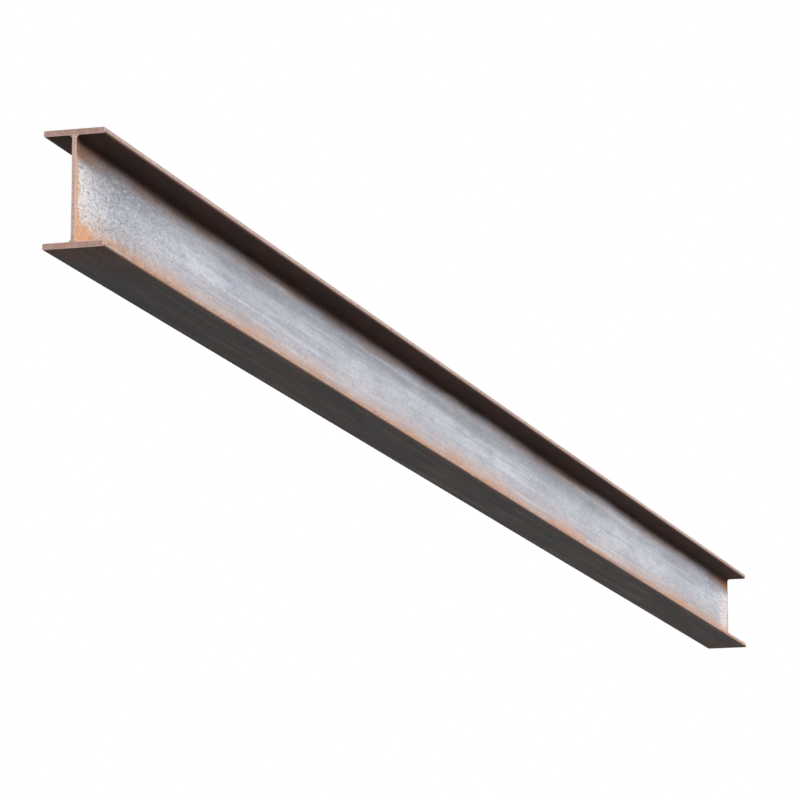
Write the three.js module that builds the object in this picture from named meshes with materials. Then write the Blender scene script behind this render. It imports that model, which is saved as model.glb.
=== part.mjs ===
// A straight bar of hot-rolled steel H-beam, sawn square at both ends.
//
// Millimetres, +Z up. The bar lies on its bottom flange with its web upright and its
// length along X. The origin is on the ground, under the middle of the bar.
//
// The bar is one rolled piece: web and flanges are one solid, so its cross-section is
// drawn once as a closed outline and extruded over the whole length.

import * as THREE from 'three';

// ---- Driving dimensions -------------------------------------------------------------

const BAR_LENGTH = 3000; // between the two sawn ends
const SECTION_DEPTH = 120; // over the outer faces of the two flanges
const FLANGE_WIDTH = 64;
const FLANGE_THICKNESS = 6.3; // parallel flanges: the same at the root and at the tip
const WEB_THICKNESS = 4.4;
const ROOT_RADIUS = 4; // concave fillet that the rolls leave between web and flange
const TIP_RADIUS = 1.2; // rounding of the four long edges of each flange

const ARC_DIVISIONS = 4; // three.js gives an arc twice this many straight pieces

const STEEL = new THREE.MeshStandardMaterial({ color: 0xa2a1a7, roughness: 0.62, metalness: 0.55 });

// ---- Cross-section ------------------------------------------------------------------

/**
 * Outline of the section, anticlockwise, with the bottom of the lower flange on the
 * axis of the first coordinate: (across, up).
 *
 * The run starts at the sole, goes up the right-hand channel, over the upper flange and
 * down the left-hand channel. Every tip and root fillet is a quarter turn; the straight
 * faces are the lines that join one turn to the next.
 */
function sectionOutline() {
  const halfWidth = FLANGE_WIDTH / 2;
  const halfWeb = WEB_THICKNESS / 2;
  const tip = Math.min(TIP_RADIUS, FLANGE_THICKNESS / 2);
  const upperFlange = SECTION_DEPTH - FLANGE_THICKNESS;
  const outline = new THREE.Shape();

  // A quarter turn about a centre, from one compass angle to another.
  const turn = (across, up, radius, from, to) =>
    outline.absarc(across, up, radius, from, to, to < from);
  const EAST = 0;
  const NORTH = Math.PI / 2;
  const WEST = Math.PI;
  const SOUTH = -Math.PI / 2;

  // Lower flange: its sole, then the tip on the right.
  outline.moveTo(-halfWidth + tip, 0);
  turn(halfWidth - tip, tip, tip, SOUTH, EAST);
  turn(halfWidth - tip, FLANGE_THICKNESS - tip, tip, EAST, NORTH);

  // Right-hand channel: lower root fillet, web face, upper root fillet.
  const rootRight = halfWeb + ROOT_RADIUS;
  turn(rootRight, FLANGE_THICKNESS + ROOT_RADIUS, ROOT_RADIUS, 3 * NORTH, WEST);
  turn(rootRight, upperFlange - ROOT_RADIUS, ROOT_RADIUS, WEST, NORTH);

  // Upper flange: right tip, outer face, left tip.
  turn(halfWidth - tip, upperFlange + tip, tip, SOUTH, EAST);
  turn(halfWidth - tip, SECTION_DEPTH - tip, tip, EAST, NORTH);
  turn(-halfWidth + tip, SECTION_DEPTH - tip, tip, NORTH, WEST);
  turn(-halfWidth + tip, upperFlange + tip, tip, WEST, 3 * NORTH);

  // Left-hand channel, downwards.
  const rootLeft = -rootRight;
  turn(rootLeft, upperFlange - ROOT_RADIUS, ROOT_RADIUS, NORTH, EAST);
  turn(rootLeft, FLANGE_THICKNESS + ROOT_RADIUS, ROOT_RADIUS, EAST, SOUTH);

  // Left tip of the lower flange, back to the sole.
  turn(-halfWidth + tip, FLANGE_THICKNESS - tip, tip, NORTH, WEST);
  turn(-halfWidth + tip, tip, tip, WEST, 3 * NORTH);
  outline.closePath();
  return outline;
}

// ---- Bar ----------------------------------------------------------------------------

/** The section carried along the bar, turned so that across is Y, up is Z, length is X. */
function rolledBar() {
  const geometry = new THREE.ExtrudeGeometry(sectionOutline(), {
    depth: BAR_LENGTH,
    steps: 1,
    bevelEnabled: false,
    curveSegments: ARC_DIVISIONS,
  });
  const bar = new THREE.Mesh(geometry, STEEL);
  bar.name = 'h_beam';
  bar.rotation.set(Math.PI / 2, Math.PI / 2, 0);
  bar.position.x = -BAR_LENGTH / 2;
  return bar;
}

const beam = new THREE.Group();
beam.add(rolledBar());

export default beam;
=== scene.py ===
"""A straight bar of hot-rolled steel H-beam: mill scale, rust and sawn ends.

Metres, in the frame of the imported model: X along the bar, Y across the flanges, Z up,
with the bar lying on its lower flange on the ground at Z = 0.
"""

import math

import bmesh
import bpy
import numpy as np
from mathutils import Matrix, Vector


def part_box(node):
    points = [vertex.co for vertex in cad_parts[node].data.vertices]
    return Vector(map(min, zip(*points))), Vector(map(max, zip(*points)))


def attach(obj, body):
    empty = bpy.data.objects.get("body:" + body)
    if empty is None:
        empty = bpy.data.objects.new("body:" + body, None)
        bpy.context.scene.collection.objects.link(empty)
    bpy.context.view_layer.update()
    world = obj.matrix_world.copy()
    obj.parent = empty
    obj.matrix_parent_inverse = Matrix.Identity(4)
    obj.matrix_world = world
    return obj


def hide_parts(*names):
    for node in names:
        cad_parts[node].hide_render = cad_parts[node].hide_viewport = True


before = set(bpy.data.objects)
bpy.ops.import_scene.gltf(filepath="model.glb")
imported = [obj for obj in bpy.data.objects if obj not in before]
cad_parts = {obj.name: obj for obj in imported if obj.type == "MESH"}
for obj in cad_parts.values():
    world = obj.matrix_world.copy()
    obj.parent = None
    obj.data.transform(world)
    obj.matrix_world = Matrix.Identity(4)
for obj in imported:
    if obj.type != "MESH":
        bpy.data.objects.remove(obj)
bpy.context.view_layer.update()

MM = 0.001
LOW, HIGH = (np.array(corner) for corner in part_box("h_beam"))
BAR_LENGTH, FLANGE_WIDTH, SECTION_DEPTH = HIGH - LOW
FLANGE_THICKNESS = 6.3 * MM
WEB_THICKNESS = 4.4 * MM
ROOT_RADIUS = 4 * MM
TIP_RADIUS = 1.2 * MM

# Lengths along a channel's profile: the flange's inner face, the fillet and the whole web.
FLANGE_RUN = FLANGE_WIDTH / 2 - TIP_RADIUS - WEB_THICKNESS / 2 - ROOT_RADIUS
FILLET_RUN = ROOT_RADIUS * math.pi / 2
WEB_RUN = SECTION_DEPTH - 2 * (FLANGE_THICKNESS + ROOT_RADIUS)

# How far the real bar strays from its true section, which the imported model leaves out.
WEB_BOW = 0.3 * MM
TIP_WANDER = 0.12 * MM  # half of the most that a flange tip runs in
DENT_COUNT = 26
DENT_SPREAD = 0.47  # the furthest that a dent lies from the bar's middle, as a share of its length
DENT_HALF_LENGTHS = (1.5, 4.0)  # millimetres, shortest and longest
DENT_DEPTHS = (0.25, 0.7)  # millimetres, shallowest and deepest
BURR_HEIGHT = 0.22 * MM
BURR_BEHIND_CUT = 0.8 * MM
BURR_HALF_LENGTH = 0.5 * MM

FLOOR_HALF = 60.0
FLOOR_DROP = 0.3 * MM  # below the sole, so that the two faces do not meet
CONTACT_GAP = 1.5 * MM

CAMERA_BEHIND = 3.75  # before the near sawn end, along the bar
CAMERA_ASIDE = 1.45
CAMERA_BELOW = 1.0
CAMERA_LENS = 190

RNG = np.random.default_rng(120)


# ---- Colour and node helpers --------------------------------------------------------


def linear(hex_colour):
    """An sRGB hex colour as linear red, green, blue and a full alpha."""
    channels = [int(hex_colour[i : i + 2], 16) / 255 for i in (1, 3, 5)]
    return (*[c / 12.92 if c <= 0.04045 else ((c + 0.055) / 1.055) ** 2.4 for c in channels], 1.0)


def add(tree, kind, inputs=None, output=None, **settings):
    """Adds a node with its settings, fills or links its inputs by name or place, and returns
    one output socket: the named one, or else the first that is in use."""
    node = tree.nodes.new(kind)
    for name, value in settings.items():
        setattr(node, name, value)
    in_use = {socket.name: socket for socket in node.inputs if socket.enabled}
    for key, value in (inputs or {}).items():
        socket = in_use[key] if isinstance(key, str) else node.inputs[key]
        if isinstance(value, bpy.types.NodeSocket):
            tree.links.new(value, socket)
        else:
            socket.default_value = value
    return node.outputs[output] if output else next((s for s in node.outputs if s.enabled), None)


def patches(tree, place, size, stretch, shift, fade, most, detail):
    """Irregular patches about size millimetres across, drawn out by stretch along X, Y and Z.

    Fractal noise is cut between the two levels of fade: below the first there is none of the
    patch, above the second there is as much of it as most says, with a smooth border between.
    Shift only picks another stretch of the noise, so that two patterns do not fall together,
    and detail is how many finer layers the noise has."""
    scale = [1 / (size * MM * along) for along in stretch]
    moved = {"Vector": place, "Location": (shift, shift, shift), "Scale": scale}
    scaled = add(tree, "ShaderNodeMapping", moved)
    fractal = {"Vector": scaled, "Scale": 1.0, "Detail": detail, "Roughness": 0.6}
    noise = add(tree, "ShaderNodeTexNoise", fractal)
    limits = {"Value": noise, "From Min": fade[0], "From Max": fade[1], "To Max": most}
    return add(tree, "ShaderNodeMapRange", limits, interpolation_type="SMOOTHSTEP")


def lay_coats(tree, base, coats):
    """Lays coats on a base colour, one over another. A coat is its colour, as hex or a socket,
    and one or more amounts; it lies only where all its amounts are above nothing."""
    colour = linear(base)
    for paint, *amounts in coats:
        amount = amounts[0]
        for other in amounts[1:]:
            amount = add(tree, "ShaderNodeMath", {0: amount, 1: other}, operation="MULTIPLY")
        paint = linear(paint) if isinstance(paint, str) else paint
        layers = {"Factor": amount, "A": colour, "B": paint}
        colour = add(tree, "ShaderNodeMix", layers, data_type="RGBA")
    return colour


def stripe(tree, height, middle, half, soft):
    """A stripe along the bar: full within half of its middle height, and gone soft beyond that."""
    off = add(tree, "ShaderNodeMath", {0: height, 1: middle}, operation="SUBTRACT")
    off = add(tree, "ShaderNodeMath", {0: off}, operation="ABSOLUTE")
    limits = {"Value": off, "From Min": half + soft, "From Max": half}
    return add(tree, "ShaderNodeMapRange", limits, interpolation_type="SMOOTHSTEP")


def empty_tree(owner):
    """The node tree of a material or world, with nothing in it."""
    owner.use_nodes = True
    owner.node_tree.nodes.clear()
    return owner.node_tree


def begin_material(name):
    """A new material that holds only a node for the place on the bar."""
    material = bpy.data.materials.new(name)
    tree = empty_tree(material)
    return material, tree, add(tree, "ShaderNodeTexCoord", output="Object")


# ---- Materials ----------------------------------------------------------------------

# Lengths in the materials are in millimetres. A fade goes from its To Min, or nothing, at From
# Min to its To Max, or all, at From Max. In a list of coats a colour comes first, then where and
# how much of it there is.

# Heights on the channel's profile, measured along the surface from the tip of the lower flange
# over its inner face, up the web and out to the tip of the upper flange.
LOWER_ROOT = (FLANGE_RUN + FILLET_RUN) / MM
UPPER_ROOT = LOWER_ROOT + WEB_RUN / MM
ROLL_LINE = UPPER_ROOT - 25.0  # where the rolls left a duller stripe on the web


def scale_coats(tree, place, climb, from_end):
    """Coats of bare mill scale: clouds, stripes from the rolls, a rosy haze of thin rust low on
    the web, painted shade high on it below the upper flange, and by each cut a pale fade and stronger
    pits."""
    low_web = add(
        tree, "ShaderNodeMapRange",
        {"Value": climb, "From Min": LOWER_ROOT + 52, "From Max": LOWER_ROOT + 18, "To Max": 0.6},
        interpolation_type="SMOOTHSTEP",
    )
    # High on the web: painted shade here widens the upper flange's shadow, and dark specks gather.
    high_web = add(
        tree, "ShaderNodeMapRange",
        {"Value": climb, "From Min": UPPER_ROOT - 46, "From Max": UPPER_ROOT - 17},
        interpolation_type="SMOOTHSTEP",
    )
    wander = patches(tree, place, 34, (1.6, 1, 1.4), 4.4, (0.25, 0.75), 46.0, 5)
    past_fade = add(tree, "ShaderNodeMath", {0: from_end, 1: wander}, operation="SUBTRACT")
    # Paler towards each cut, within an uneven reach.
    pale_mark = add(
        tree, "ShaderNodeMapRange",
        {"Value": past_fade, "From Min": 84.0, "From Max": -6.0, "To Max": 0.95},
        interpolation_type="SMOOTHSTEP",
    )
    below_shelter = add(
        tree, "ShaderNodeMapRange",
        {"Value": climb, "From Min": UPPER_ROOT - 14, "From Max": UPPER_ROOT - 30},
        interpolation_type="SMOOTHSTEP",
    )
    pitted = add(
        tree, "ShaderNodeMapRange",
        {"Value": past_fade, "From Min": 360.0, "From Max": 60.0, "To Min": 0.35, "To Max": 1.0},
        interpolation_type="SMOOTHSTEP",
    )
    return [
        # Pale and dull clouds, the rosy haze, and painted shade high on the web that widens the upper
        # flange's shadow.
        ("#D0D3DB", patches(tree, place, 60, (3.5, 1, 1), 0.0, (0.34, 0.66), 1.0, 5)),
        ("#A9ABB4", patches(tree, place, 300, (2, 1, 1), 16.1, (0.42, 0.66), 0.4, 2)),
        ("#C3ADA5", low_web),
        ("#85868B", high_web, patches(tree, place, 80, (5, 1, 1), 12.7, (0.22, 0.62), 0.55, 4)),
        # Streaks along the bar, short and long, and the roll stripe.
        ("#A3A6AF", patches(tree, place, 11, (5, 1, 1), 8.2, (0.46, 0.68), 0.5, 4)),
        ("#989BA5", patches(tree, place, 4.5, (60, 1, 1), 3.1, (0.46, 0.72), 0.5, 2)),
        ("#DFE2E8", patches(tree, place, 7.0, (45, 1, 1), 9.9, (0.54, 0.74), 0.45, 2)),
        ("#8F929A", stripe(tree, climb, ROLL_LINE, 2.5, 7.0),
         patches(tree, place, 30, (6, 1, 1), 6.6, (0.36, 0.60), 0.7, 4)),
        # Paler by each cut, below the shelter.
        ("#EBE2DD", pale_mark, below_shelter),
        # Dark pits, bright flecks and rust specks, all but one kind of them stronger by the cuts.
        ("#7F828B", patches(tree, place, 2.8, (2.4, 1, 1), 7.7, (0.48, 0.70), 0.72, 4), pitted),
        ("#6A6C74", patches(tree, place, 1.9, (1.8, 1, 1), 15.5, (0.54, 0.70), 0.75, 2), pitted),
        ("#EEF0F3", patches(tree, place, 2.6, (4.0, 1, 1), 2.2, (0.53, 0.71), 0.5, 4), pitted),
        ("#74757C", patches(tree, place, 4.2, (4.0, 1, 1), 10.4, (0.53, 0.70), 0.6, 4), high_web, pitted),
        ("#8E7F79", patches(tree, place, 4.0, (1.8, 1, 1), 4.9, (0.57, 0.72), 0.5, 3)),
        ("#48423F", patches(tree, place, 3.4, (1.8, 1, 1), 4.9, (0.66, 0.77), 0.85, 3), pitted),
    ]


def root_band(tree, place, climb, inside, on_flange):
    """How much orange rust lies over the lower root: all of it in the root, fading out softly and
    unevenly up the web, grainy throughout, and broken by bare scale on the flange."""
    wander = patches(tree, place, 150, (2.6, 1, 1), 5.2, (0.30, 0.70), 12.0, 2)
    mottle = patches(tree, place, 9, (2.2, 1, 1), 2.6, (0.25, 0.75), 9.0, 6)
    rise = add(tree, "ShaderNodeMath", {0: wander, 1: mottle}, operation="ADD")
    above = add(tree, "ShaderNodeMath", {0: climb, 1: rise}, operation="SUBTRACT")
    band = add(
        tree, "ShaderNodeMapRange",
        {"Value": above, "From Min": LOWER_ROOT + 20, "From Max": LOWER_ROOT - 6, "To Max": 0.95},
        interpolation_type="SMOOTHSTEP",
    )
    breaks = patches(tree, place, 26, (3.5, 1, 1), 12.3, (0.42, 0.66), 0.75, 6)
    bare = add(tree, "ShaderNodeMath", {0: on_flange, 1: breaks}, operation="MULTIPLY")
    grain = patches(tree, place, 2.4, (1.8, 1, 1), 20.5, (0.44, 0.70), 0.35, 3)
    weak = patches(tree, place, 130, (2.4, 1, 0.5), 21.3, (0.42, 0.66), 0.42, 5)
    missing = add(tree, "ShaderNodeMath", {0: bare, 1: grain}, operation="MAXIMUM")
    missing = add(tree, "ShaderNodeMath", {0: missing, 1: weak}, operation="MAXIMUM")
    rusted = add(tree, "ShaderNodeMath", {0: 1.0, 1: missing}, operation="SUBTRACT")
    band = add(tree, "ShaderNodeMath", {0: band, 1: rusted}, operation="MULTIPLY")
    return add(tree, "ShaderNodeMath", {0: band, 1: inside}, operation="MULTIPLY")


def cut_corner(tree, place, climb, from_end):
    """How much orange rust crept in from each cut: its reach along the bar is longest on the lower
    flange and thins to a narrow strip up the web, and its edge is soft in proportion to it."""
    reach = add(
        tree, "ShaderNodeMapRange",
        {
            "Value": climb, "From Min": LOWER_ROOT + 34, "From Max": LOWER_ROOT,
            "To Min": 9.0, "To Max": 80.0,
        },
        interpolation_type="SMOOTHERSTEP",
    )
    uneven = patches(tree, place, 14, (1.5, 1, 1), 17.4, (0.25, 0.75), 0.8, 6)
    share = add(tree, "ShaderNodeMath", {0: from_end, 1: reach}, operation="DIVIDE")
    share = add(tree, "ShaderNodeMath", {0: share, 1: uneven}, operation="ADD")
    return add(
        tree, "ShaderNodeMapRange", {"Value": share, "From Min": 1.5, "From Max": 0.55, "To Max": 0.92},
        interpolation_type="SMOOTHSTEP",
    )


def sheltered_rust_and_shade(tree, place, climb, inside):
    """How much brown, rust stain darkened with painted shade: all of the sheltered root and underside,
    thinning out on the web.
    """
    drip = patches(tree, place, 60, (7, 1, 1), 1.3, (0.28, 0.72), 12.0, 4)
    below = add(tree, "ShaderNodeMath", {0: climb, 1: drip}, operation="ADD")
    stain = add(
        tree, "ShaderNodeMapRange",
        {"Value": below, "From Min": UPPER_ROOT - 14, "From Max": UPPER_ROOT + 8, "To Max": 0.95},
        interpolation_type="SMOOTHSTEP",
    )
    return add(tree, "ShaderNodeMath", {0: stain, 1: inside}, operation="MULTIPLY")


def tip_paint(tree, place, climb, tip_rise, grain):
    """Colour of the flange tips: grey-brown rust, pale along the middle as rubbed wear and a painted
    highlight, painted shade along the lower corner, and more orange on the lower flange."""
    # A pale stripe, partly rubbed wear and partly a painted highlight.
    pale_mark = stripe(tree, tip_rise, 0.60, 0.12, 0.20)
    # Painted shade along the lower corner.
    painted_shade_foot = add(
        tree, "ShaderNodeMapRange",
        {"Value": tip_rise, "From Min": 0.40, "From Max": 0.12, "To Max": 0.85},
        interpolation_type="SMOOTHSTEP",
    )
    lower = add(tree, "ShaderNodeMath", {0: climb, 1: LOWER_ROOT}, operation="LESS_THAN")
    return lay_coats(tree, "#A48A7F", [
        ("#CDB6AA", pale_mark, patches(tree, place, 20, (9, 1, 1), 7.1, (0.22, 0.50), 0.95, 4)),
        ("#C99A78", lower, patches(tree, place, 36, (5, 1, 1), 11.9, (0.34, 0.62), 0.65, 4)),
        ("#6A4A3F", painted_shade_foot),
        ("#7C5E52", grain),
    ])


def rolled_skin():
    """Mill scale, the blue-grey iron oxide that hot rolling leaves on steel, weathered outdoors.
    The scale gives a pale, half-dull, finely speckled face with stripes along the bar. Rust
    gives matt orange where water lies, in the lower channel and at the sawn ends, and matt
    dark brown where it is sheltered, under the upper flange, made darker there with painted shade.
    The top is darker grey, partly as painted shade against the stronger light from above, and the
    tips carry a painted highlight and painted shade along their lower corner."""
    material, tree, place = begin_material("hot_rolled_mill_scale")
    climb, from_end, from_tip, outside, tip_rise = (
        add(tree, "ShaderNodeAttribute", output="Fac", attribute_name=name)
        for name in ("climb", "from_end", "from_tip", "outside", "tip_rise")
    )
    on_top = add(tree, "ShaderNodeMapRange", {"Value": outside, "From Min": 0.2, "From Max": 0.8})
    on_sole = add(
        tree, "ShaderNodeMapRange",
        {"Value": outside, "From Min": -0.2, "From Max": -0.8, "To Max": 0.92},
    )
    outer = add(tree, "ShaderNodeMath", {0: outside}, operation="ABSOLUTE")
    inside = add(tree, "ShaderNodeMapRange", {"Value": outer, "From Min": 0.8, "From Max": 0.2})
    on_flange = add(
        tree, "ShaderNodeMapRange",
        {"Value": climb, "From Min": LOWER_ROOT, "From Max": LOWER_ROOT - 15},
        interpolation_type="SMOOTHSTEP",
    )
    on_tip = add(
        tree, "ShaderNodeMapRange",
        {"Value": from_tip, "From Min": 1.5, "From Max": 0.5, "To Max": 0.95},
        interpolation_type="SMOOTHSTEP",
    )
    corner = cut_corner(tree, place, climb, from_end)
    orange = root_band(tree, place, climb, inside, on_flange)
    orange = add(tree, "ShaderNodeMath", {0: orange, 1: corner}, operation="MAXIMUM")
    brown = sheltered_rust_and_shade(tree, place, climb, inside)

    # Rust-stained water runs warmer along the edge of the shelter, most of all by the cuts.
    by_cut = add(
        tree, "ShaderNodeMapRange",
        {"Value": from_end, "From Min": 150.0, "From Max": 15.0, "To Min": 0.3, "To Max": 0.9},
        interpolation_type="SMOOTHSTEP",
    )
    warm_line = stripe(tree, climb, UPPER_ROOT - 10, 2.0, 15.0)
    warm_breaks = patches(tree, place, 42, (3, 1, 1), 3.6, (0.30, 0.64), 1.0, 5)

    grain = patches(tree, place, 3.2, (1.4, 1, 1), 5.7, (0.44, 0.74), 0.6, 4)
    blotch = patches(tree, place, 24, (2.4, 1, 1), 3.9, (0.36, 0.66), 0.8, 4)
    orange_paint = lay_coats(tree, "#D6A479", [
        ("#D09157", patches(tree, place, 40, (3, 1, 1), 13.1, (0.38, 0.64), 0.8, 5)),
        ("#B27A52", patches(tree, place, 13, (2, 1, 1), 18.8, (0.48, 0.70), 0.6, 6)),
        ("#E8B083", corner, 0.6),
        ("#8D6652", on_flange, patches(tree, place, 60, (3, 1, 1), 19.3, (0.30, 0.56), 0.85, 5)),
        ("#85583F", grain),
    ])
    warm_paint = lay_coats(tree, "#8F623C", [("#744B2E", blotch), ("#54402F", grain)])
    # The brown is paler along the underside's open edge: painted light, where more light gets in under
    # the flange.
    painted_light_open_edge = add(
        tree, "ShaderNodeMapRange",
        {"Value": from_tip, "From Min": 8.0, "From Max": 0.5, "To Max": 0.8},
        interpolation_type="SMOOTHSTEP",
    )
    # Rust brown under the upper flange, made darker as painted shade.
    rust_and_shade_brown = lay_coats(tree, "#402F27", [
        ("#57392B", blotch),
        ("#5C463A", painted_light_open_edge),
        ("#2B211D", grain),
    ])
    dirt_paint = lay_coats(tree, "#4A4744", [
        ("#3B3836", patches(tree, place, 34, (6, 1, 1), 19.9, (0.36, 0.66), 0.9, 5)),
        ("#6F6963", patches(tree, place, 10, (28, 1, 1), 15.3, (0.46, 0.70), 0.85, 4)),
        ("#5F4638", by_cut, patches(tree, place, 48, (2, 1, 1), 16.6, (0.34, 0.62), 0.9, 5)),
        ("#33302E", grain),
    ])
    colour = lay_coats(tree, "#B7BAC3", scale_coats(tree, place, climb, from_end) + [
        # The top: darker grey, partly weathering and partly painted shade against the stronger light from
        # above, then rust patches.
        ("#7E7F83", on_top, 0.8),
        ("#78685F", on_top, patches(tree, place, 90, (3.5, 1, 1), 8.8, (0.30, 0.68), 0.85, 8)),
        ("#8E6950", on_top, patches(tree, place, 22, (2.4, 1, 1), 14.2, (0.46, 0.72), 0.7, 8)),
        ("#5B5350", on_top, grain),
        (orange_paint, orange),
        (rust_and_shade_brown, brown),
        (warm_paint, warm_line, warm_breaks, by_cut),
        (dirt_paint, on_sole),
        (tip_paint(tree, place, climb, tip_rise, grain), on_tip),
    ])

    covered = add(tree, "ShaderNodeMath", {0: on_top, 1: 0.6}, operation="MULTIPLY")
    for rust in (orange, brown, on_tip, on_sole):
        covered = add(tree, "ShaderNodeMath", {0: covered, 1: rust}, operation="MAXIMUM")
    metal = add(tree, "ShaderNodeMapRange", {"Value": covered, "To Min": 0.2, "To Max": 0.0})
    dull = add(tree, "ShaderNodeMapRange", {"Value": covered, "To Min": 0.52, "To Max": 0.90})
    # The same size and shift as the dark pits above, so that the relief falls on them.
    flakes = patches(tree, place, 2.8, (2.4, 1, 1), 7.7, (0.48, 0.70), 1.0, 4)
    relief = add(tree, "ShaderNodeBump", {"Height": flakes, "Distance": 0.08 * MM})
    crust = add(tree, "ShaderNodeMath", {0: grain, 1: covered}, operation="MULTIPLY")
    relief = add(tree, "ShaderNodeBump", {"Height": crust, "Distance": 0.35 * MM, "Normal": relief})
    shader = add(tree, "ShaderNodeBsdfPrincipled", {
        "Base Color": colour, "Metallic": metal, "Roughness": dull, "Normal": relief,
        "Specular IOR Level": 0.15,
    })
    add(tree, "ShaderNodeOutputMaterial", {"Surface": shader})
    return material


def sawn_face():
    """Structural steel as a cold saw leaves it, rusted in the open. It gives a matt dusty-rose
    face with the blade's fine upright scores, dark rust specks and a paler rim along the edge,
    partly burnished and partly a painted highlight."""
    material, tree, place = begin_material("saw_cut_rust")
    from_edge = add(tree, "ShaderNodeAttribute", output="Fac", attribute_name="from_edge")
    in_web = add(tree, "ShaderNodeAttribute", output="Fac", attribute_name="in_web")
    specks = patches(tree, place, 1.9, (1, 1, 1), 3.3, (0.50, 0.70), 0.62, 4)
    scores = patches(tree, place, 1.1, (1, 1, 30), 8.0, (0.45, 0.75), 0.4, 2)
    # A paler rim along the edge: partly burnished, partly a painted highlight.
    burnished_and_highlit_rim = add(
        tree, "ShaderNodeMapRange",
        {"Value": from_edge, "From Min": 0.9, "From Max": 0.1, "To Max": 0.65},
        interpolation_type="SMOOTHSTEP",
    )
    pale_web = add(tree, "ShaderNodeMath", {0: in_web, 1: 0.75}, operation="MULTIPLY")
    colour = lay_coats(tree, "#BB9389", [
        ("#C4A399", patches(tree, place, 11, (1, 1, 1), 0.0, (0.36, 0.64), 1.0, 4)),
        ("#E3C8C2", pale_web),
        ("#7F584D", specks),
        ("#CC9665", patches(tree, place, 17, (1, 1, 1), 6.1, (0.54, 0.70), 0.6, 4)),
        ("#DCC3BA", scores),
        ("#E6D0C7", burnished_and_highlit_rim),
    ])
    relief = add(tree, "ShaderNodeBump", {"Height": scores, "Distance": 0.15 * MM})
    relief = add(tree, "ShaderNodeBump", {"Height": specks, "Distance": 0.20 * MM, "Normal": relief})
    shader = add(tree, "ShaderNodeBsdfPrincipled", {
        "Base Color": colour, "Metallic": 0.0, "Roughness": 0.82, "Normal": relief,
        "Specular IOR Level": 0.3,
    })
    add(tree, "ShaderNodeOutputMaterial", {"Surface": shader})
    return material


# ---- Beam ---------------------------------------------------------------------------


def quarter_section():
    """One quarter of the section's outline, from the middle of the sole round the flange tip
    and the root fillet to the middle of the web, as (outline, core) point lists.

    Core is the section's centre line: each outline point is paired with the point of the
    flange's or the web's mid-line that faces it, so a straight blend from core to outline
    covers the whole sawn face without a crossing.
    """
    half_width, half_web = FLANGE_WIDTH / 2, WEB_THICKNESS / 2
    mid_flange = FLANGE_THICKNESS / 2
    core_end = half_width - mid_flange
    root = half_web + ROOT_RADIUS

    inner_y = np.concatenate([
        np.linspace(half_width - TIP_RADIUS, core_end, 2)[:-1],
        np.linspace(core_end, root, 8)[:-1],
    ])
    share = np.linspace(0, 1, 13)
    fillet = np.stack([
        root - ROOT_RADIUS * np.sin(share * np.pi / 2),
        FLANGE_THICKNESS + ROOT_RADIUS * (1 - np.cos(share * np.pi / 2)),
    ], 1)
    towards_web = np.clip(1 - 2 * share, 0, 1) * root
    up_web = mid_flange + np.clip(2 * share - 1, 0, 1) * (FLANGE_THICKNESS + ROOT_RADIUS - mid_flange)
    fillet_core = np.stack([towards_web, up_web], 1)

    sole_y = np.concatenate([np.unique(towards_web), inner_y[::-1]])
    sole = np.stack([sole_y, np.zeros_like(sole_y)], 1)
    turn = np.linspace(0, np.pi / 2, 5)[1:]
    low_corner = np.stack([np.sin(turn), 1 - np.cos(turn)], 1) * TIP_RADIUS
    low_corner[:, 0] += half_width - TIP_RADIUS
    tip_z = np.linspace(TIP_RADIUS, FLANGE_THICKNESS - TIP_RADIUS, 5)[1:-1]
    tip_face = np.stack([np.full_like(tip_z, half_width), tip_z], 1)
    high_corner = low_corner[::-1] * (1, -1) + (0, FLANGE_THICKNESS)
    inner = np.stack([inner_y, np.full_like(inner_y, FLANGE_THICKNESS)], 1)
    web_z = np.linspace(FLANGE_THICKNESS + ROOT_RADIUS, SECTION_DEPTH / 2, 11)[1:]
    web = np.stack([np.full_like(web_z, half_web), web_z], 1)

    def facing(points):
        """The core points that these points of a flange's outline are paired with."""
        return np.stack([np.minimum(points[:, 0], core_end), np.full(len(points), mid_flange)], 1)

    outline = np.concatenate([sole, low_corner, tip_face, high_corner, inner, fillet, web])
    core = np.concatenate([
        facing(sole), facing(low_corner), facing(tip_face), facing(high_corner), facing(inner),
        fillet_core, np.stack([np.zeros_like(web_z), web_z], 1),
    ])
    repeated = np.append(np.linalg.norm(np.diff(outline, axis=0), axis=1) < 1e-9, False)
    return outline[~repeated], core[~repeated]


def whole_section():
    """The closed outline and its core, from four quarters, anticlockwise seen from +X."""
    def closed(quarter):
        """The quarter mirrored upwards, and that half mirrored to the other side."""
        right = np.concatenate([quarter, (quarter * (1, -1) + (0, SECTION_DEPTH))[-2::-1]])
        return np.concatenate([right, (right * (-1, 1))[-2:0:-1]])

    return tuple(closed(part) for part in quarter_section())


def waves(x, lengths, seed_phase):
    """A slow wander along the bar between -1 and 1: the mean of sines of the given wavelengths."""
    phase = np.random.default_rng(seed_phase).uniform(0, 2 * np.pi, len(lengths))
    return np.mean([np.sin(2 * np.pi * x / l + p) for l, p in zip(lengths, phase)], axis=0)


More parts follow.
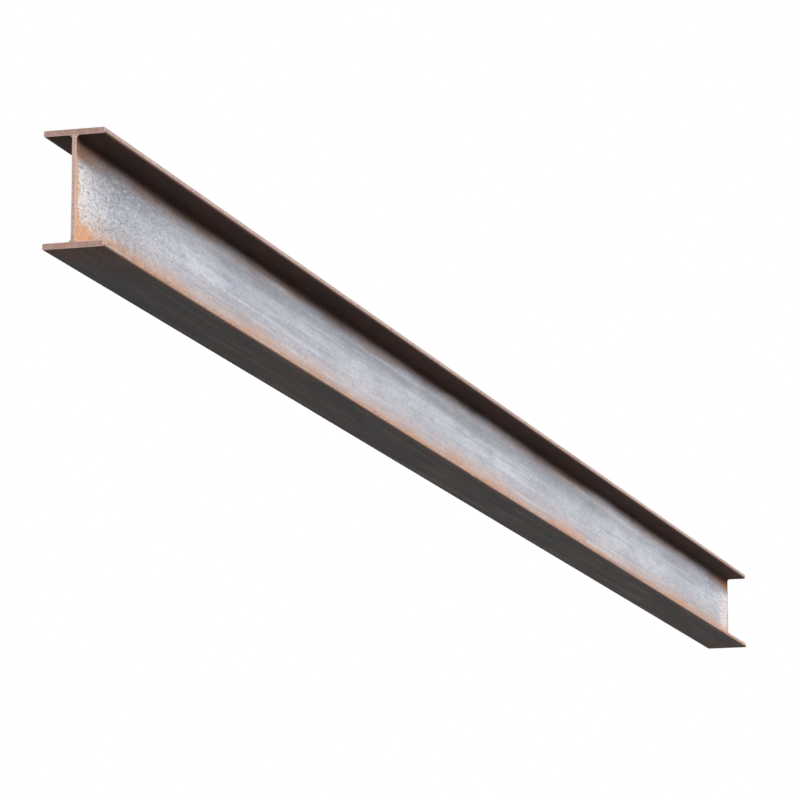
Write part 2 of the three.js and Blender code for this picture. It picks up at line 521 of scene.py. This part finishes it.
def bar_stations():
    """Where the section is repeated along the bar, and the dents in the flange tips.

    Stations are even, with more of them at the sawn ends and across each dent, and each
    dent is (place along the bar, corner of the section, half length, depth)."""
    dents = []
    for _ in range(DENT_COUNT):
        place = RNG.uniform(-DENT_SPREAD, DENT_SPREAD) * BAR_LENGTH
        corner = RNG.integers(4)
        half_length = RNG.uniform(*DENT_HALF_LENGTHS) * MM
        depth = RNG.uniform(*DENT_DEPTHS) * MM
        dents.append((place, corner, half_length, depth))
    even = np.linspace(-BAR_LENGTH / 2 + 5 * MM, BAR_LENGTH / 2 - 5 * MM, 240)
    at_ends = BAR_LENGTH / 2 - np.array([0.3, 0.8, 1.3, 2.0, 3.2]) * MM
    at_dents = [x + half * k for x, _, half, _ in dents for k in (-1.6, -0.8, 0, 0.8, 1.6)]
    return np.unique(np.concatenate([even, at_ends, -at_ends, at_dents])), dents


def beam_mesh():
    """The rolled bar: the section's outline carried along X, closed at both ends.

    Ring by ring along the bar, a point is core + share * (outline - core): the share is 1 on
    the rolled skin and falls to 0 over each sawn face, so the faces meet on the core line.
    The skin then wanders by tenths of a millimetre: the web bows sideways, the flange tips
    run in and out, and each dent is a bell-shaped hollow in a tip."""
    outline, core = whole_section()
    stations, dents = bar_stations()
    half = BAR_LENGTH / 2
    cap_shares = np.array([0.0, 0.4, 0.75, 0.92])
    at_cut = np.full_like(cap_shares, half)
    x = np.concatenate([-at_cut, stations, at_cut])
    share = np.concatenate([cap_shares, np.ones(len(stations)), cap_shares[::-1]])

    points = np.empty((len(x), len(outline), 3))
    points[..., 0] = x[:, None]
    points[..., 1:] = core + share[:, None, None] * (outline - core)
    y, z = points[..., 1], points[..., 2]

    # Web bow: nothing at the roots, most at mid height.
    rise = np.clip((z - FLANGE_THICKNESS) / (SECTION_DEPTH - 2 * FLANGE_THICKNESS), 0, 1)
    y_wander = WEB_BOW * waves(points[..., 0] + 2 * z, (0.9, 0.41, 0.23), 3) * np.sin(np.pi * rise)

    # Tips: a corner index for each point, then waviness and dents that only go inwards.
    at_tip = np.clip(1 - (FLANGE_WIDTH / 2 - np.abs(y)) / (2 * MM), 0, 1)
    corner = (y > 0) * 1 + (z > SECTION_DEPTH / 2) * 2
    inwards = np.zeros_like(y)
    for index in range(4):
        run = TIP_WANDER * (1 + waves(x, (0.62, 0.27, 0.11, 0.05), 11 + index))
        for place, where, half_length, depth in dents:
            if where == index:
                run = run + depth * np.exp(-(((x - place) / half_length) ** 2))
        inwards += np.where(corner == index, run[:, None], 0)
    points[..., 1] += y_wander * (np.abs(outline[:, 0]) < WEB_THICKNESS) - np.sign(y) * inwards * at_tip

    # Burr inside the channels, just behind each cut.
    behind = half - np.abs(points[..., 0])
    bell = np.exp(-(((behind - BURR_BEHIND_CUT) / BURR_HALF_LENGTH) ** 2))
    burr = BURR_HEIGHT * bell * (share[:, None] == 1)
    inner_face = FLANGE_THICKNESS * 0.99  # a hair less, so that the face itself counts
    in_channel = (outline[:, 1] > inner_face) & (outline[:, 1] < SECTION_DEPTH - inner_face)
    outwards = outline - core
    outwards = outwards / np.linalg.norm(outwards, axis=1, keepdims=True)
    points[..., 1:] += (burr * in_channel)[..., None] * outwards

    return points, share, outline, core


def grid_faces(rings, around):
    """Quads between neighbouring rings of points, each ring closed on itself."""
    ring, step = np.meshgrid(np.arange(rings - 1), np.arange(around), indexing="ij")
    after = (step + 1) % around
    near, far = ring * around, (ring + 1) * around
    corners = [near + step, near + after, far + after, far + step]
    return np.stack(corners, -1).reshape(-1, 4)


def section_marks(points, outline):
    """What the materials read at each point, distances in millimetres.

    Climb is the length along the channel's profile from the lower flange's tip: straight
    along the flange, then radius times angle round the fillet, then straight up the web, and
    the same again mirrored. Outside is 1 on the top face, -1 on the sole and 0 elsewhere, tip
    rise goes from 0 to 1 up the thickness of a flange, and in web is 1 on the web, else 0."""
    across, up = np.abs(outline[:, 0]), outline[:, 1]
    from_flange = np.minimum(up, SECTION_DEPTH - up)
    root_y = WEB_THICKNESS / 2 + ROOT_RADIUS
    half_way = FLANGE_RUN + FILLET_RUN + WEB_RUN / 2
    on_flange = np.clip(FLANGE_WIDTH / 2 - TIP_RADIUS - across, 0, FLANGE_RUN)
    on_fillet = ROOT_RADIUS * np.arcsin(np.clip((root_y - across) / ROOT_RADIUS, 0, 1))
    on_web = np.maximum(from_flange - FLANGE_THICKNESS - ROOT_RADIUS, 0)
    run = on_flange + on_fillet + on_web
    outer = from_flange < TIP_RADIUS * 0.9
    run = np.where(outer, 0, run)
    upper = up > SECTION_DEPTH / 2
    climb = np.where(upper, 2 * half_way - run, run)
    tip_rise = np.where(upper, up - SECTION_DEPTH + FLANGE_THICKNESS, up) / FLANGE_THICKNESS
    shape = points.shape[:2]
    return {
        "climb": np.broadcast_to(climb, shape) / MM,
        "from_tip": np.broadcast_to(FLANGE_WIDTH / 2 - across, shape) / MM,
        "from_end": (BAR_LENGTH / 2 - np.abs(points[..., 0])) / MM,
        "outside": np.broadcast_to(np.where(outer, np.sign(up - SECTION_DEPTH / 2), 0), shape) * 1.0,
        "tip_rise": np.broadcast_to(np.clip(tip_rise, 0, 1), shape) * 1.0,
        "in_web": np.broadcast_to(from_flange > FLANGE_THICKNESS + ROOT_RADIUS * 0.5, shape) * 1.0,
    }


def build_beam():
    """The bar as one closed piece, from the grid of rings: rolled skin along it and a sawn face
    at each end. From edge is how far a point of a sawn face lies in from the outline, which is
    what is left of the share, times the distance from core to outline."""
    points, share, outline, core = beam_mesh()
    rings, around = points.shape[:2]
    mesh = bpy.data.meshes.new("rolled_beam")
    faces = grid_faces(rings, around)
    mesh.from_pydata(points.reshape(-1, 3), [], faces)
    marks = section_marks(points, outline)
    thickness = np.linalg.norm(outline - core, axis=1)
    marks["from_edge"] = (1 - share)[:, None] * thickness[None, :] / MM
    for name, values in marks.items():
        layer = mesh.attributes.new(name, "FLOAT", "POINT")
        layer.data.foreach_set("value", values.astype(np.float32).ravel())
    mesh.materials.append(rolled_skin())
    mesh.materials.append(sawn_face())
    ring_of_face = np.repeat(np.arange(rings - 1), around)
    on_cut = (share[ring_of_face] < 1) | (share[ring_of_face + 1] < 1)
    mesh.polygons.foreach_set("material_index", on_cut.astype(np.int32))
    mesh.polygons.foreach_set("use_smooth", np.ones(len(faces), bool))
    mesh.set_sharp_from_angle(angle=math.radians(35))
    beam = bpy.data.objects.new("rolled_beam", mesh)
    bpy.context.scene.collection.objects.link(beam)
    close_seams(beam)
    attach(beam, "root")
    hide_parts("h_beam")


def close_seams(piece):
    """Joins the points that lie on each other along the core line of the sawn faces."""
    shape = bmesh.new()
    shape.from_mesh(piece.data)
    bmesh.ops.remove_doubles(shape, verts=shape.verts, dist=1e-6)
    bmesh.ops.dissolve_degenerate(shape, dist=1e-7, edges=shape.edges)
    shape.to_mesh(piece.data)
    shape.free()


# ---- Floor, light and camera --------------------------------------------------------


def seen_ray(tree):
    """1 for a ray that looks at the backdrop, directly or in a gloss or through glass, else 0."""
    rays = ("Is Camera Ray", "Is Glossy Ray", "Is Transmission Ray")
    direct, gloss, through = (add(tree, "ShaderNodeLightPath", output=ray) for ray in rays)
    looks = add(tree, "ShaderNodeMath", {0: direct, 1: gloss}, operation="MAXIMUM")
    return add(tree, "ShaderNodeMath", {0: looks, 1: through}, operation="MAXIMUM")


def studio_floor():
    """A plain matt floor. It looks nearly white, but throws light back as a dark grey one does,
    so that it does not fill the shaded faces of the bar.

    Seen from underneath it is clear, so a low camera looks past it. It is also clear to light
    that has come less than CONTACT_GAP, so the sole is dim instead of black from below."""
    material = bpy.data.materials.new("pale_studio_floor")
    tree = empty_tree(material)
    tone = lay_coats(tree, "#505050", [("#F0F0EF", seen_ray(tree))])
    surface = add(tree, "ShaderNodeBsdfDiffuse", {"Color": tone})
    under = add(tree, "ShaderNodeNewGeometry", output="Backfacing")
    distance = add(tree, "ShaderNodeLightPath", output="Ray Length")
    close = add(tree, "ShaderNodeMath", {0: distance, 1: CONTACT_GAP}, operation="LESS_THAN")
    clear = add(tree, "ShaderNodeMath", {0: under, 1: close}, operation="MAXIMUM")
    see_through = add(tree, "ShaderNodeBsdfTransparent")
    choice = add(tree, "ShaderNodeMixShader", {0: clear, 1: surface, 2: see_through})
    add(tree, "ShaderNodeOutputMaterial", {"Surface": choice})
    return material


def build_floor():
    """A wide square that catches the bar's shadow."""
    corners = [(-1, -1), (1, -1), (1, 1), (-1, 1)]
    mesh = bpy.data.meshes.new("floor")
    spots = [(x * FLOOR_HALF, y * FLOOR_HALF, -FLOOR_DROP) for x, y in corners]
    mesh.from_pydata(spots, [], [(0, 1, 2, 3)])
    mesh.materials.append(studio_floor())
    floor = bpy.data.objects.new("floor", mesh)
    bpy.context.scene.collection.objects.link(floor)


def build_world():
    """An even surround that lights softly and shows white behind the bar."""
    world = bpy.data.worlds.new("studio")
    bpy.context.scene.world = world
    tree = empty_tree(world)
    light = add(tree, "ShaderNodeBackground", {"Color": linear("#EEF2F8"), "Strength": 0.33})
    backdrop = add(tree, "ShaderNodeBackground", {"Color": (1, 1, 1, 1), "Strength": 1.0})
    choice = add(tree, "ShaderNodeMixShader", {0: seen_ray(tree), 1: light, 2: backdrop})
    add(tree, "ShaderNodeOutputWorld", {"Surface": choice})


def add_lamp(name, bearing, height, strength, spread, colour):
    """A lamp so far off that it lights the whole bar and floor evenly.

    Bearing is the side it shines from, in degrees round from the -Y side towards -X, height
    is how many degrees it stands above the floor, and spread is how wide it looks from the
    bar, which softens the edges of the shadows."""
    lamp = bpy.data.lights.new(name, "SUN")
    lamp.energy = strength
    lamp.angle = math.radians(spread)
    lamp.color = linear(colour)[:3]
    side, rise = math.radians(bearing), math.radians(height)
    level = math.cos(rise)
    towards = Vector((-math.sin(side) * level, -math.cos(side) * level, math.sin(rise)))
    holder = bpy.data.objects.new(name, lamp)
    holder.rotation_euler = towards.to_track_quat("Z", "Y").to_euler()
    bpy.context.scene.collection.objects.link(holder)


def build_lights():
    """A low, wide lamp on the right, so that the upper flange shades only the top of that web, a
    higher one on the left, which also keeps the floor light, and a weaker one at each end."""
    add_lamp("right_side", bearing=18, height=17, strength=2.75, spread=23, colour="#FBFCFF")
    add_lamp("left_side", bearing=198, height=34, strength=2.3, spread=20, colour="#FFFFFF")
    add_lamp("near_end", bearing=75, height=16, strength=1.1, spread=20, colour="#FFFAF5")
    add_lamp("far_end", bearing=255, height=16, strength=1.0, spread=20, colour="#FFFAF5")


def build_camera():
    """Looks along the bar from beside, behind and below its near end."""
    camera = bpy.data.objects.new("camera", bpy.data.cameras.new("camera"))
    bpy.context.scene.collection.objects.link(camera)
    bpy.context.scene.camera = camera
    middle = SECTION_DEPTH / 2
    place = Vector((LOW[0] - CAMERA_BEHIND, -CAMERA_ASIDE, middle - CAMERA_BELOW))
    near = (Vector((LOW[0], 0, middle)) - place).normalized()
    far = (Vector((HIGH[0], 0, middle)) - place).normalized()
    camera.location = place
    camera.rotation_euler = (near + far).to_track_quat("-Z", "Y").to_euler()
    camera.data.sensor_width = 36
    camera.data.lens = CAMERA_LENS
    camera.data.clip_start, camera.data.clip_end = 0.05, 200


build_camera()
build_beam()
build_floor()
build_world()
build_lights()
bpy.context.scene.view_settings.view_transform = "Standard"
